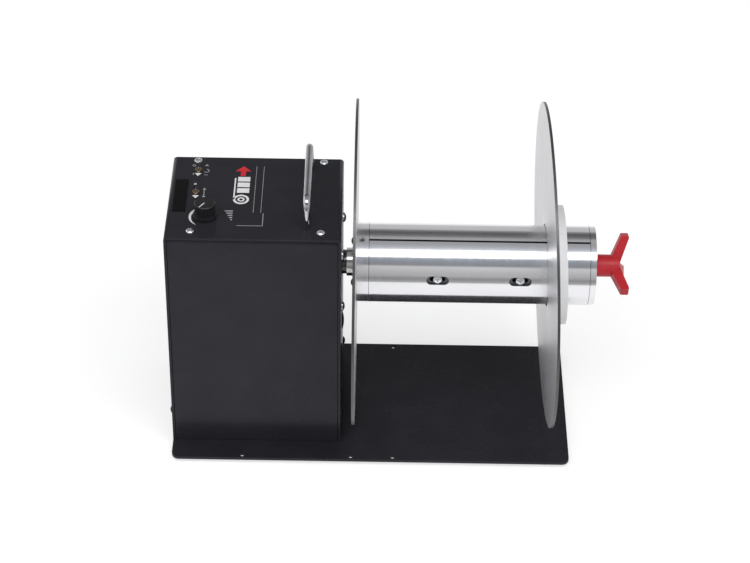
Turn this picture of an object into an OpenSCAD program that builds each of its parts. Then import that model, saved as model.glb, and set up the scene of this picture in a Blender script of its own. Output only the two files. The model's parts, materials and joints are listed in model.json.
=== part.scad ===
// Bench rewinder for label rolls: a motor case on a steel base plate drives an expanding
// drum for label cores, with a fixed inner flange and a loose outer flange.
// Everything is drawn from the spindle axis (X, towards the knob) and from the inner
// flange's case-side face, and is then moved so that the feet stand on Z = 0.

/* [Base] */
// Width of the base plate, along the spindle
base_w = 382.4; // [370:0.1:430]
// Depth of the base plate, front to back
base_d = 177; // [165:1:210]
// Distance from the spindle axis to the plate's front edge
base_front = 90; // [84:0.5:100]
// Thickness of the base plate
base_t = 3; // [2:0.5:5]
// Corner radius of the base plate
base_corner_r = 7; // [2:1:12]
// Diameter of the holes along the long edges
edge_hole_d = 4.5; // [3:0.1:5]
// Distance from a row of edge holes to the plate's edge
edge_hole_inset = 4.3; // [3.8:0.1:8]
// First edge hole, from the plate's left edge
edge_hole_x1 = 67.9; // [55:0.1:90]
// Second edge hole, from the plate's left edge
edge_hole_x2 = 172.2; // [150:0.1:190]
// Third edge hole, from the plate's left edge
edge_hole_x3 = 212.6; // [200:0.1:240]
// Diameter of a rubber foot
foot_d = 22; // [14:1:30]
// Height of a rubber foot
foot_h = 4; // [3.5:0.5:10]
// Distance from a foot's centre to the plate's edges
foot_inset = 26; // [18:1:30]

/* [Case] */
// Width of the case, along the spindle
case_w = 161.8; // [155:0.1:185]
// Depth of the case, front to back
case_d = 130; // [120:1:150]
// Height of the case above the base plate
case_h = 242.5; // [225:0.5:280]
// Thickness of the case's sheet metal
sheet_t = 2.5; // [1.5:0.1:3]
// Outside radius of the sheet metal bends
bend_r = 3.5; // [3.2:0.1:6]
// Gap between a cover and the case's side walls
seam_gap = 0.4; // [0.2:0.1:1]
// How far a cover's face sits behind the case's edges
cover_inset = 0.5; // [0:0.1:2]
// Width of the return flanges on the case and its covers
lip_w = 14; // [12.5:0.5:15]
// Distance of the top screws from the left wall
top_screw_left = 23.8; // [15:0.1:30]
// Distance of the top screws from the right wall
top_screw_right = 18.7; // [10:0.1:25]
// Mean distance of the top screws from the front and back edges
top_screw_inset = 8.5; // [6.5:0.5:10]
// How far the top screws' middle lies behind the case's middle
top_screw_shift = 2; // [0:0.1:2]
// Distance of the side screws from the front or back edge
side_screw_inset = 10; // [8:0.5:12]
// Height of the side screws above the base plate
side_screw_h = 30; // [20:1:60]
// Distance of the hole plug below the spindle axis
plug_drop = 71; // [62:1:100]
// Diameter of the hole plug's cap
plug_d = 16; // [10:0.5:24]

/* [Carry handle] */
// Diameter of the handle's bar
handle_d = 7; // [6:0.5:10]
// Distance between the centres of the handle's legs
handle_span = 94; // [60:1:100]
// Height of the handle above the case
handle_rise = 33; // [28:1:45]
// Bend radius of the handle, at the middle of the bar
handle_bend_r = 8; // [6:0.5:12]
// Distance from the handle to the right wall's outer face
handle_offset = 31.7; // [24:0.1:50]

/* [Controls] */
// Distance of the torque knob from the left wall's outer face
dial_x = 36.1; // [30:0.1:44]
// Distance of the torque knob from the case's front edge
dial_inset = 34; // [28:0.5:38]
// Diameter of the torque knob's skirt
dial_d = 21.5; // [18:0.5:24]
// Height of the torque knob
dial_h = 15; // [13:0.5:20]
// Distance of the toggle switches from the left wall's outer face
toggle_x = 25; // [22:0.1:30]
// Distance of the torque switch from the case's back edge
toggle_inset = 22.5; // [22.5:0.5:28]
// Distance between the two toggle switches
toggle_pitch = 36; // [25:0.5:36]
// Length of a toggle lever above the case
toggle_l = 11; // [8:0.5:14]
// Width of the name plate
plate_w = 12; // [8:0.5:14]
// Length of the name plate
plate_l = 50.5; // [30:0.5:60]
// Thickness of the name plate
plate_t = 0.8; // [0.5:0.1:1.5]

/* [Spindle] */
// Height of the spindle axis above the base plate
axis_h = 170; // [160:0.5:200]
// Gap between the case and the inner flange
wall_gap = 11.3; // [10:0.1:16]
// Diameter of the spindle shaft
shaft_d = 20; // [16:1:22]
// Diameter of the shaft's shoulder at the case
shoulder_d = 23; // [22.5:0.5:26]
// Diameter of the shaft collar
collar_d = 27; // [26:0.5:34]
// Width of the shaft collar
collar_w = 7; // [6:0.5:9]
// Distance between the bearing housing's bolts
housing_pitch = 60; // [58:0.5:70]
// Length of the bearing housing
housing_l = 50; // [44:1:54]
// Outside diameter of the spindle bearings
bearing_d = 42; // [40:1:46]
// Width of the spindle bearings
bearing_w = 12; // [8:1:14]

/* [Drive] */
// Module of the spur gears
gear_m = 1.5; // [1.4:0.05:1.6]
// Teeth of the spindle gear
gear_teeth = 60; // [56:1:64]
// Teeth of the motor pinion
pinion_teeth = 18; // [17:1:22]
// Face width of the spindle gear
gear_w = 10; // [8:1:11]
// Play between the gear teeth
backlash = 0.2; // [0.1:0.05:0.4]
// Diameter of the motor
motor_d = 50; // [44:1:54]
// Length of the motor behind its gearbox
motor_l = 52; // [40:1:58]

/* [Drum] */
// Diameter of the drum at rest, for 76.2 mm cores
drum_d = 75; // [74:0.1:76]
// Length of the drum's jaws
drum_l = 207.3; // [195:0.1:240]
// Width of the drum's inner hub
hub_w = 11.4; // [10:0.1:16]
// Width of the drum's end cap
cap_w = 5.5; // [5:0.1:12]
// Width of the slits between the jaws
slit_w = 2; // [1.5:0.1:3]
// Turn of the drum: the first slit's angle above the front horizon
slit_angle = 70.4; // [0:0.1:120]
// Length of the jaw screw slots
slot_l = 21; // [19.5:0.5:24]
// Width of the jaw screw slots
slot_w = 8.8; // [8.6:0.1:12]
// First slot, from the jaws' inner end
slot_x1 = 64.6; // [55:0.1:75]
// Second slot, from the jaws' inner end
slot_x2 = 141.9; // [130:0.1:160]
// Thickness of a jaw
jaw_t = 5.7; // [5:0.1:6.4]
// Slide of the wedge carrier each way
wedge_travel = 5; // [3:0.5:5]
// Rise of the wedges for each millimetre of slide
wedge_slope = 0.13; // [0.08:0.01:0.14]
// Diameter of the draw screw
draw_d = 12; // [10:0.5:13]

/* [Flanges] */
// Diameter of both flanges
flange_d = 308.6; // [250:0.1:320]
// Thickness of both flanges
flange_t = 2.5; // [2:0.1:4]
// Distance from the inner flange's case side to the outer flange
outer_x = 181.1; // [100:0.1:195]
// Tilt of the loose outer flange
lean = 2.2; // [0:0.1:2.2]
// Direction of that tilt, turned round the spindle from its top
lean_turn = -34; // [-90:1:90]
// Diameter of the outer flange's plastic hub
outer_hub_d = 113; // [104:0.5:130]
// Width of the outer flange's plastic hub
outer_hub_w = 14.9; // [12:0.1:20]
// Distance from the axis to the inner flange's screws
flange_screw_r = 27.5; // [25:0.1:31]

/* [Chuck knob] */
// Diameter of the knob's hub
knob_hub_d = 21.2; // [18:0.1:26]
// Length of the knob's hub, up to its arms
knob_hub_l = 16; // [12:0.5:20]
// Length of the whole knob
knob_l = 31.9; // [28:0.1:40]
// Reach of the knob's arms from the axis
knob_reach = 31.5; // [26:0.5:36]
// Thickness of an arm at its tip
arm_t = 8.2; // [6:0.1:10]
// Width of an arm
arm_w = 9; // [7:0.5:12]
// Turn of the knob: its first arm's angle above the front horizon
knob_angle = 105.9; // [0:0.1:120]

/* [Hidden] */
$fn = 64;

// Clearances: a thread or seat, a running fit, and a gap between moving pieces
seat = 0.03;
run_fit = 0.06;
free_gap = 0.3;

// How far cutters run past a face, and how far joined solids run into each other
over = 1;
lap = 0.5;

// Fasteners: shank diameter, head diameter, head height
m3 = [3, 6, 2];
m4 = [4, 7.5, 2.6];
m4_button = [4, 7.4, 2.4];
m4_jaw = [4, 8.2, 2];
m4_flange = [4, 7.2, 2.8];
m5_button = [5, 9.3, 3.2];
m4_sunk = [4, 8, 2.2];

// Stations along the spindle
wall_x = -wall_gap;
wall_in = wall_x - sheet_t;
case_x = wall_x - case_w;
left_in = case_x + sheet_t;
base_x = case_x;
hub_x = flange_t;
drum_x = hub_x + hub_w;
cap_x = drum_x + drum_l;
cap_end = cap_x + cap_w;
knob_tip = cap_end + knob_l;

// Heights from the spindle axis
base_top = -axis_h;
case_top = base_top + case_h;
panel_in = case_top - sheet_t;
floor_z = base_top - base_t - foot_h;

// The whole part's middle along the spindle
x_mid = (case_x - m4_button[2] + knob_tip) / 2;

// Base plate
base_back = base_d - base_front;
hole_xs = [edge_hole_x1, edge_hole_x2, edge_hole_x3];
hole_ys = [edge_hole_inset - base_front, base_back - edge_hole_inset];
foot_taper = 3;
foot_xs = [foot_inset, base_w - foot_inset];
foot_ys = [foot_inset - base_front, base_back - foot_inset];

// Screws in the case
top_screw_xs = [case_x + top_screw_left, wall_x - top_screw_right];
top_screw_ys = [for (side = [-1, 1]) side * (case_d / 2 - top_screw_inset) + top_screw_shift];
side_screw_y = case_d / 2 - side_screw_inset;
lip_screw_xs = [left_in + lip_w / 2, wall_in - lip_w / 2];
lip_screw_y = case_d / 4;
screw_bite = 8;

// Hole plug in the right wall
plug_rim = 1.5;
plug_hole_d = plug_d - 2 * plug_rim;
plug_cap_h = 2;
plug_stem = 3;

// Covers
cover_face = case_d / 2 - cover_inset;
cover_in = cover_face - sheet_t;
cover_x0 = left_in + seam_gap;
cover_x1 = wall_in - seam_gap;
case_lip_l = 2 * (cover_in - seam_gap);
lip_relief = 2;

// Controls on the case's top
handle_x = wall_x - handle_offset;
dial_pos = [case_x + dial_x, dial_inset - case_d / 2];
toggle_pos = [for (i = [0, 1]) [case_x + toggle_x, case_d / 2 - toggle_inset - i * toggle_pitch]];
plate_inset = 2.6;
plate_front = -23.5;
plate_pos = [case_x + sheet_t + plate_inset, plate_front];
pot_shaft_d = 6;
pot_bush_d = 7;
pot_nut_h = 2.2;
pot_body_h = 9;
pot_body_d = 17;
pot_nut_d = 11.5;
pot_bush_up = 1.5;
pot_floor = 2;
dial_lift = 0.7;
dial_skirt_h = 3;
dial_grooves = 18;
dial_top_t = 3;
dial_chamfer = 0.6;
dial_groove_d = 1.8;
dial_rim = 1.4;
dial_groove_l = dial_h - dial_skirt_h - 1.5 * dial_rim;
dial_recess = [15, 4.7];
pot_shaft_up = dial_h - dial_top_t;
pot_floor_z = panel_in - pot_body_h + pot_floor;
toggle_bush_d = 4.8;
toggle_bush_h = 2.4;
toggle_nut_d = 6.8;
toggle_nut_h = 1.8;
toggle_body = [7, 13, 10];
toggle_ball_d = 3;
toggle_lever_d = 1.9;
toggle_tip_d = 3;
toggle_pivot_up = 0.6;
toggle_pivot = case_top + toggle_pivot_up;
toggle_tail = 2;
toggle_tail_d = 1.4;
toggle_play = 1.5;

// Bearings and spindle
shaft_r = shaft_d / 2;
race_t = 3.3;
race_d = shaft_d + 2 * race_t;
bearing_gap = 2;
front_bearing_x = wall_in - bearing_gap - bearing_w;
rear_bearing_x = wall_in - housing_l;
housing_edge = 10;
housing_plate = housing_pitch + 2 * housing_edge;
housing_plate_t = 10;
housing_wall = 7;
housing_boss_d = bearing_d + 2 * housing_wall;
housing_lip = 3.5;
housing_core_d = bearing_d - 2 * housing_lip;
shaft_play = 3;
shaft_hole_d = shoulder_d + 2 * shaft_play;
gear_gap = 6;
gear_hub_l = 6;
gear_hub_wall = 8;
gear_hub_d = shaft_d + 2 * gear_hub_wall;
gear_x1 = rear_bearing_x - gear_gap;
gear_x0 = gear_x1 - gear_w;
shaft_x0 = gear_x0 - gear_hub_l;

// Motor and pinion, below the spindle
gear_r = gear_m * gear_teeth / 2;
pinion_r = gear_m * pinion_teeth / 2;
motor_z = -(gear_r + pinion_r);
motor_shaft_d = 8;
pinion_extra = 1;
pinion_x0 = gear_x0 - pinion_extra;
pinion_x1 = gear_x1 + pinion_extra;
bracket_t = 3;
gearbox_l = 12;

// The motor and its gearbox stand midway between the left wall and the pinion
motor_stack = bracket_t + gearbox_l + motor_l;
bracket_x = (left_in + pinion_x0 + motor_stack) / 2;
bracket_margin = 13;
bracket_w = motor_d + 2 * bracket_margin;
bracket_crown = 10;
bracket_h = axis_h + motor_z + motor_d / 2 + bracket_crown;
bracket_foot = 32;
bracket_screw_inset = 8;
bracket_screw_xs = [bracket_x + bracket_screw_inset, bracket_x + bracket_foot - bracket_screw_inset];
bracket_screw_edge = 10;
bracket_screw_y = bracket_w / 2 - bracket_screw_edge;
gearbox_rim = 1;
gearbox_wall = 2;
shaft_end = 2;
motor_screw_edge = 7;
motor_screw_r = motor_d / 2 - motor_screw_edge;
gearbox_x = bracket_x - bracket_t - gearbox_l;
gearbox_bore_x = gearbox_x + gearbox_wall;

// Control board on the rear cover
board_w = 90;
board_h = 80;
board_t = 1.6;
board_in = 30;
board_up = 25;
board_x = left_in + board_in;
board_z = base_top + board_up;
standoff_l = 10.5;
standoff_d = 6;
board_back = cover_in - standoff_l;
board_edge = 5;
board_face = board_back - board_t;
stud_l = 1.5;

// Parts on the board: two capacitors in a column, a terminal block and a driver in another
capacitor_in = 18;
capacitor_x = board_x + capacitor_in;
big_capacitor_up = 24;
big_capacitor_z = board_z + big_capacitor_up;
big_capacitor_d = 16;
big_capacitor_h = 18;
big_capacitor_y = board_face - big_capacitor_h;
small_capacitor_up = 50;
small_capacitor_z = board_z + small_capacitor_up;
small_capacitor_d = 12;
small_capacitor_h = 14;
small_capacitor_y = board_face - small_capacitor_h;
block_in = 52;
block_x = board_x + block_in;
terminal_up = 12;
terminal_z = board_z + terminal_up;
terminal_w = 28;
terminal_t = 10;
terminal_h = 16;
driver_up = 44;
driver_z = board_z + driver_up;
driver_w = 26;
driver_t = 8;
driver_h = 22;

// Power socket in the rear cover
jack_in = 18;
jack_up = 35;
jack_x = left_in + jack_in;
jack_z = base_top + jack_up;
jack_d = 11;
jack_flange_d = 14;
jack_flange_t = 2.2;
jack_depth = 14;
jack_bore_d = 6.4;
jack_pin_d = 2;
jack_nut_d = 16;
jack_nut_t = 3;
jack_wall = 3;
jack_floor = cover_face - jack_depth + jack_wall;

// Drum and jaws
drum_r = drum_d / 2;
jaw_in = drum_r - jaw_t;
jaw_gap = 0.1;
jaw_angles = [for (i = [0:2]) slit_angle - 60 + 120 * i];
slit_angles = [for (i = [0:2]) slit_angle + 120 * i];
slot_xs = [drum_x + slot_x1, drum_x + slot_x2];
jaw_rise = wedge_travel * wedge_slope;
head_sink = 0.2;
head_gap = 0.15;
shank_gap = 0.4;
head_top = drum_r - jaw_rise - head_sink;
head_under = head_top - m4_jaw[2];
slot_floor = head_under - jaw_rise - head_gap;
shank_slot_w = m4_jaw[0] + 2 * shank_gap;
shank_slot_l = m4_jaw[0] + 2 * wedge_travel + over;
wedge_l = 34;
wedge_w = 16;
wedge_root = 3;
pad_l = 26;
pad_h = 4.8;
ramp_r = jaw_in - pad_h;
carrier_wall = 5.5;
carrier_r = draw_d / 2 + carrier_wall;
carrier_step = 1.6;
carrier_disc_r = ramp_r - carrier_step;
carrier_disc_w = 10;
carrier_over = 21;
carrier_x0 = slot_xs[0] - carrier_over;
carrier_x1 = slot_xs[1] + carrier_over;
draw_over = 10;
rod_d = 8;
rod_ring_r = 19;
rod_seat = 2.6;
cap_screw_bite = 14;
cap_bore = [9.2, 3];
collar_out = 18;
collar_l = 5;
hub_step = 0.6;

// Inner flange and hub fasteners
flange_screw_angle = 82.5;
flange_screw_bite = 5;
set_screw_d = 6;
set_screw_depth = 1.2;
set_screw_top = drum_r - set_screw_depth;
hub_screw_share = 0.43;
hub_screw_x = hub_x + hub_w * hub_screw_share;
collar_screw_angle = -20;
screw_recess = 0.4;

// Outer flange
land_gap = 0.31;
land_r = drum_r + jaw_rise + land_gap;
bore_step = 0.6;
outer_bore_r = land_r + bore_step;
relief_r = outer_bore_r + over;
land_w = 6;
outer_hub_x = outer_x + flange_t;
pivot_x = outer_hub_x + outer_hub_w / 2;
outer_screw_r = 47;

// Chuck knob
knob_x = cap_end + free_gap;
arm_back = cap_end + knob_hub_l;
arm_hollow = 6.6;
arm_front = knob_tip - arm_hollow;
tip_round = 1.6;
arm_dish = 2;
arm_root = 2;
knob_bore_l = 12;

module place() {
    translate([-x_mid, 0, -floor_z])
        children();
}

// Turns a piece drawn outwards along Z to an angle above the front horizon
module at_angle(theta) {
    rotate([90 - theta, 0, 0])
        children();
}

module rod_x(x0, x1, r) {
    translate([x0, 0, 0])
        rotate([0, 90, 0])
            cylinder(h = x1 - x0, r = r);
}

module ring_x(x0, x1, r_out, r_in) {
    difference() {
        rod_x(x0, x1, r_out);
        rod_x(x0 - over, x1 + over, r_in);
    }
}

// An outline of X and Z, made as thick as w along Y
module slab_y(w) {
    rotate([90, 0, 0])
        linear_extrude(height = w, center = true)
            children();
}

// An outline of Y and Z, stretched along X
module bar_x(x0, x1) {
    translate([x0, 0, 0])
        rotate([90, 0, 90])
            linear_extrude(height = x1 - x0)
                children();
}

module rounded_plate(size, r) {
    for (x = [r, size.x - r], y = [r, size.y - r])
        translate([x, y, 0])
            cylinder(h = size.z, r = r);
    translate([r, 0, 0])
        cube([size.x - 2 * r, size.y, size.z]);
    translate([0, r, 0])
        cube([size.x, size.y - 2 * r, size.z]);
}

// A rectangle with its two upper corners rounded
module arch(x0, x1, z0, z1, r) {
    translate([x0, z0])
        square([x1 - x0, z1 - z0 - r]);
    translate([x0 + r, z0])
        square([x1 - x0 - 2 * r, z1 - z0]);
    for (x = [x0 + r, x1 - r])
        translate([x, z1 - r])
            circle(r);
}

// A domed screw head, standing on z = 0
module dome(d, h) {
    rim = 0.4 * h;
    ball_r = (d * d / 4 + (h - rim) * (h - rim)) / (2 * (h - rim));
    intersection() {
        cylinder(h = h, d = d);
        translate([0, 0, h - ball_r])
            sphere(ball_r);
    }
}

// A cross recess cut down from a head's top
module cross_drive(d, top, depth) {
    for (a = [0, 90])
        rotate(a)
            translate([0, 0, top])
                cube([0.58 * d, 0.14 * d, 2 * depth], center = true);
}

// Screws stand on z = 0 with the head above and the shank below
module pan_screw(size, l) {
    difference() {
        dome(size[1], size[2]);
        cross_drive(size[1], size[2], 0.5 * size[2]);
    }
    translate([0, 0, -l])
        cylinder(h = l, d = size[0] - 2 * seat);
}

module button_screw(size, l) {
    difference() {
        dome(size[1], size[2]);
        translate([0, 0, 0.4 * size[2]])
            cylinder(h = size[2], d = 0.6 * size[0], $fn = 6);
    }
    translate([0, 0, -l])
        cylinder(h = l, d = size[0] - 2 * seat);
}

// A flush screw whose head lies below z = 0
module sunk_screw(size, l) {
    difference() {
        translate([0, 0, -size[2]])
            cylinder(h = size[2], d1 = size[0] - 2 * seat, d2 = size[1]);
        cross_drive(size[1], 0, 0.5 * size[2]);
    }
    translate([0, 0, -l])
        cylinder(h = l - size[2], d = size[0] - 2 * seat);
}

// A headless screw between two heights, with a hexagon socket in its top
module set_screw(d, z0, z1) {
    difference() {
        translate([0, 0, z0])
            cylinder(h = z1 - z0, d = d - 2 * seat);
        translate([0, 0, z1 - d / 2])
            cylinder(h = d, d = 0.58 * d, $fn = 6);
    }
}

module hole_z(p, d, z0, z1) {
    translate([p.x, p.y, z0])
        cylinder(h = z1 - z0, d = d);
}

module hole_x(p, d, x0, x1) {
    translate([0, p.x, p.y])
        rod_x(x0, x1, d / 2);
}

module hole_y(x, z, d, y0, y1) {
    translate([x, y0, z])
        rotate([-90, 0, 0])
            cylinder(h = y1 - y0, d = d);
}

// Places where one kind of screw sits, shared by the screws and their holes
module top_screw_places() {
    for (x = top_screw_xs, y = top_screw_ys)
        translate([x, y, case_top])
            children();
}

module side_screw_places() {
    for (y = [-side_screw_y, side_screw_y]) {
        translate([case_x, y, base_top + side_screw_h])
            rotate([0, -90, 0])
                children();
        translate([wall_x, y, base_top + side_screw_h])
            rotate([0, 90, 0])
                children();
    }
}

module lip_screw_places() {
    for (x = lip_screw_xs, y = [-lip_screw_y, lip_screw_y])
        translate([x, y, base_top - base_t])
            rotate([180, 0, 0])
                children();
}

module bracket_screw_places() {
    for (x = bracket_screw_xs, y = [-bracket_screw_y, bracket_screw_y])
        translate([x, y, base_top - base_t])
            rotate([180, 0, 0])
                children();
}

module handle_screw_places() {
    for (y = [-handle_span / 2, handle_span / 2])
        translate([handle_x, y, panel_in])
            rotate([180, 0, 0])
                children();
}

// Room in the covers' top flanges for the heads of the handle's screws
module handle_screw_notches() {
    handle_screw_places()
        translate([0, 0, -over])
            cylinder(h = sheet_t + 2 * over, d = m4_button[1] + 2 * free_gap);
}

module housing_bolt_places() {
    for (y = [-1, 1], z = [-1, 1])
        translate([wall_x, y * housing_pitch / 2, z * housing_pitch / 2])
            rotate([0, 90, 0])
                children();
}

module motor_screw_places() {
    for (a = [45:90:315])
        translate([bracket_x, motor_screw_r * cos(a), motor_z + motor_screw_r * sin(a)])
            rotate([0, 90, 0])
                children();
}

module board_post_places() {
    for (x = [board_x + board_edge, board_x + board_w - board_edge])
        for (z = [board_z + board_edge, board_z + board_h - board_edge])
            translate([x, board_back, z])
                rotate([-90, 0, 0])
                    children();
}

module flange_screw_places() {
    for (i = [0:3])
        at_angle(flange_screw_angle + 90 * i)
            translate([0, 0, flange_screw_r])
                rotate([0, -90, 0])
                    children();
}

module rod_places() {
    for (a = slit_angles)
        at_angle(a)
            translate([0, 0, rod_ring_r])
                children();
}

module jaw_screw_places() {
    for (a = jaw_angles, x = slot_xs)
        at_angle(a)
            translate([x, 0, head_under])
                children();
}

module outer_screw_places() {
    for (i = [0:5])
        at_angle(30 + 60 * i)
            translate([outer_x, 0, outer_screw_r])
                rotate([0, -90, 0])
                    children();
}

module shank_hole(size, l) {
    translate([0, 0, -l])
        cylinder(h = l + over, d = size[0]);
}

module leaning() {
    translate([pivot_x, 0, 0])
        rotate([lean_turn, 0, 0])
            rotate([0, -lean, 0])
                rotate([-lean_turn, 0, 0])
                    translate([-pivot_x, 0, 0])
                        children();
}

module rounded_slot(l, w, h) {
    for (x = [w / 2 - l / 2, l / 2 - w / 2])
        translate([x, 0, 0])
            cylinder(h = h, d = w);
    translate([w / 2 - l / 2, -w / 2, 0])
        cube([l - w, w, h]);
}

// Gear teeth: involute flanks at a pressure angle of 20 degrees
function involute(r, base_r) =
    let (t = sqrt(max(0, r * r / (base_r * base_r) - 1)))
    t * 180 / PI - atan(t);
function half_tooth(r, teeth) =
    let (pitch_r = gear_m * teeth / 2, base_r = pitch_r * cos(20))
    90 / teeth - backlash / pitch_r * 45 / PI + involute(pitch_r, base_r) - involute(r, base_r);
function flank_radii(teeth) =
    let (pitch_r = gear_m * teeth / 2, root = pitch_r - 1.25 * gear_m, tip = pitch_r + gear_m)
    [for (i = [0:4]) root + (tip - root) * i / 4];
function polar(r, a) = [r * cos(a), r * sin(a)];
function gear_outline(teeth) = [
    for (i = [0:teeth - 1])
        for (side = [-1, 1], k = [0:4])
            let (r = flank_radii(teeth)[side < 0 ? k : 4 - k])
            polar(r, 360 / teeth * i + side * half_tooth(r, teeth))
];

module gear(x0, x1, teeth) {
    translate([x0, 0, 0])
        rotate([0, 90, 0])
            linear_extrude(height = x1 - x0)
                polygon(gear_outline(teeth));
}

module base_plate() {
    color([0.15, 0.14, 0.16])
        place()
            difference() {
                translate([base_x, -base_front, base_top - base_t])
                    rounded_plate([base_w, base_d, base_t], base_corner_r);
                for (x = hole_xs, y = hole_ys)
                    hole_z([base_x + x, y], edge_hole_d, base_top - base_t - over, base_top + over);
                lip_screw_places()
                    shank_hole(m4_button, base_t + over);
                bracket_screw_places()
                    shank_hole(m4_button, base_t + over);
            }
}

module rubber_feet() {
    color([0.08, 0.08, 0.08])
        place()
            for (x = foot_xs, y = foot_ys)
                translate([base_x + x, y, floor_z])
                    cylinder(h = foot_h, d1 = foot_d - foot_taper, d2 = foot_d);
}

module case_shell() {
    color([0.17, 0.17, 0.18])
        place()
            difference() {
                union() {
                    slab_y(case_d)
                        difference() {
                            arch(case_x, wall_x, base_top, case_top, bend_r);
                            arch(left_in, wall_in, base_top - over, panel_in, bend_r - sheet_t);
                        }
                    for (x = [case_x + over, wall_in - lip_w])
                        translate([x, -case_lip_l / 2, base_top])
                            cube([lip_w + sheet_t - over, case_lip_l, sheet_t]);
                }
                top_screw_places()
                    shank_hole(m4, sheet_t + over);
                side_screw_places()
                    shank_hole(m4_button, sheet_t + over);
                lip_screw_places()
                    shank_hole(m4_button, base_t + sheet_t + over);
                handle_screw_places()
                    translate([0, 0, over])
                        shank_hole(m4_button, sheet_t + 2 * over);
                housing_bolt_places()
                    shank_hole(m5_button, sheet_t + over);
                hole_z(dial_pos, pot_bush_d + 2 * seat, panel_in - over, case_top + over);
                for (p = toggle_pos)
                    hole_z(p, toggle_bush_d + 2 * seat, panel_in - over, case_top + over);
                hole_x([0, 0], shaft_hole_d, wall_in - over, wall_x + over);
                hole_x([0, -plug_drop], plug_hole_d, wall_in - over, wall_x + over);
            }
}

// A cover is a tray: a face with return flanges at its top and sides
module cover() {
    inner_bend = bend_r - sheet_t;
    side_lip_h = panel_in - bend_r - lip_relief - (base_top + sheet_t + seam_gap);
    intersection() {
        bar_x(cover_x0, cover_x1)
            difference() {
                arch(-cover_face, 2 * lip_w - cover_face, base_top + seam_gap, panel_in, bend_r);
                translate([sheet_t, 0])
                    arch(-cover_face, 3 * lip_w - cover_face, base_top, panel_in - sheet_t, inner_bend);
                translate([lip_w - cover_face, base_top])
                    square([lip_w + over, case_h]);
            }
        slab_y(case_d)
            arch(cover_x0, cover_x1, base_top, panel_in, inner_bend);
    }
    for (x = [cover_x0, cover_x1 - sheet_t])
        translate([x, sheet_t - cover_face - lap, base_top + sheet_t + seam_gap])
            cube([sheet_t, lip_w - sheet_t + lap, side_lip_h]);
}

module front_cover() {
    color([0.2, 0.2, 0.22])
        place()
            difference() {
                cover();
                top_screw_places()
                    shank_hole(m4, screw_bite + over);
                side_screw_places()
                    shank_hole(m4_button, screw_bite + over);
                handle_screw_notches();
            }
}

module rear_cover() {
    color([0.2, 0.2, 0.22])
        place()
            difference() {
                mirror([0, 1, 0])
                    cover();
                top_screw_places()
                    shank_hole(m4, screw_bite + over);
                side_screw_places()
                    shank_hole(m4_button, screw_bite + over);
                handle_screw_notches();
                hole_y(jack_x, jack_z, jack_d + 2 * seat, cover_in - over, cover_face + over);
            }
}

module top_screws() {
    color([0.75, 0.75, 0.74])
        place()
            top_screw_places()
                pan_screw(m4, screw_bite);
}

module side_screws() {
    color([0.12, 0.12, 0.12])
        place()
            side_screw_places()
                button_screw(m4_button, screw_bite);
}

module base_screws() {
    color([0.12, 0.12, 0.12])
        place()
            lip_screw_places()
                button_screw(m4_button, base_t + sheet_t);
}

module carry_handle() {
    bend_z = handle_rise - handle_d / 2 - handle_bend_r;
    color([0.8, 0.8, 0.82])
        place()
            difference() {
                translate([handle_x, 0, case_top]) {
                    for (side = [0, 1])
                        mirror([0, side, 0]) {
                            translate([0, handle_span / 2, 0])
                                cylinder(h = bend_z, d = handle_d);
                            translate([0, handle_span / 2 - handle_bend_r, bend_z])
                                rotate([90, 0, 90])
                                    rotate_extrude(angle = 90)
                                        translate([handle_bend_r, 0])
                                            circle(d = handle_d);
                        }
                    translate([0, 0, handle_rise - handle_d / 2])
                        rotate([90, 0, 0])
                            cylinder(h = handle_span - 2 * handle_bend_r, d = handle_d, center = true);
                }
                handle_screw_places()
                    shank_hole(m4_button, sheet_t + screw_bite + over);
            }
}

module handle_screws() {
    color([0.6, 0.6, 0.6])
        place()
            handle_screw_places()
                button_screw(m4_button, sheet_t + screw_bite);
}

module name_plate() {
    color([0.1, 0.1, 0.1])
        place()
            translate([plate_pos.x, plate_pos.y, case_top])
                cube([plate_w, plate_l, plate_t]);
}

module bearing_housing() {
    color([0.55, 0.56, 0.58])
        place()
            difference() {
                union() {
                    translate([wall_in - housing_plate_t, -housing_plate / 2, -housing_plate / 2])
                        cube([housing_plate_t, housing_plate, housing_plate]);
                    rod_x(rear_bearing_x, wall_in - housing_plate_t + over, housing_boss_d / 2);
                }
                rod_x(rear_bearing_x - over, wall_in + over, housing_core_d / 2);
                rod_x(front_bearing_x, wall_in + over, bearing_d / 2 + seat);
                rod_x(rear_bearing_x - over, rear_bearing_x + bearing_w, bearing_d / 2 + seat);
                housing_bolt_places()
                    shank_hole(m5_button, sheet_t + housing_plate_t + over);
            }
}

module bearing_ring(x) {
    ring_x(x, x + bearing_w, bearing_d / 2, race_d / 2 + free_gap);
}

module front_bearing() {
    color([0.7, 0.7, 0.72])
        place()
            bearing_ring(front_bearing_x);
}

module rear_bearing() {
    color([0.7, 0.7, 0.72])
        place()
            bearing_ring(rear_bearing_x);
}

module bearing_races() {
    color([0.75, 0.75, 0.77])
        place()
            for (x = [front_bearing_x, rear_bearing_x])
                ring_x(x, x + bearing_w, race_d / 2, shaft_r + seat);
}

module housing_bolts() {
    color([0.6, 0.6, 0.6])
        place()
            housing_bolt_places()
                button_screw(m5_button, sheet_t + housing_plate_t);
}

module hole_plug() {
    color([0.08, 0.08, 0.08])
        place()
            translate([0, 0, -plug_drop]) {
                translate([wall_x, 0, 0])
                    rotate([0, 90, 0])
                        dome(plug_d, plug_cap_h);
                rod_x(wall_in - plug_stem, wall_x, plug_hole_d / 2 - seat);
            }
}

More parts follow.
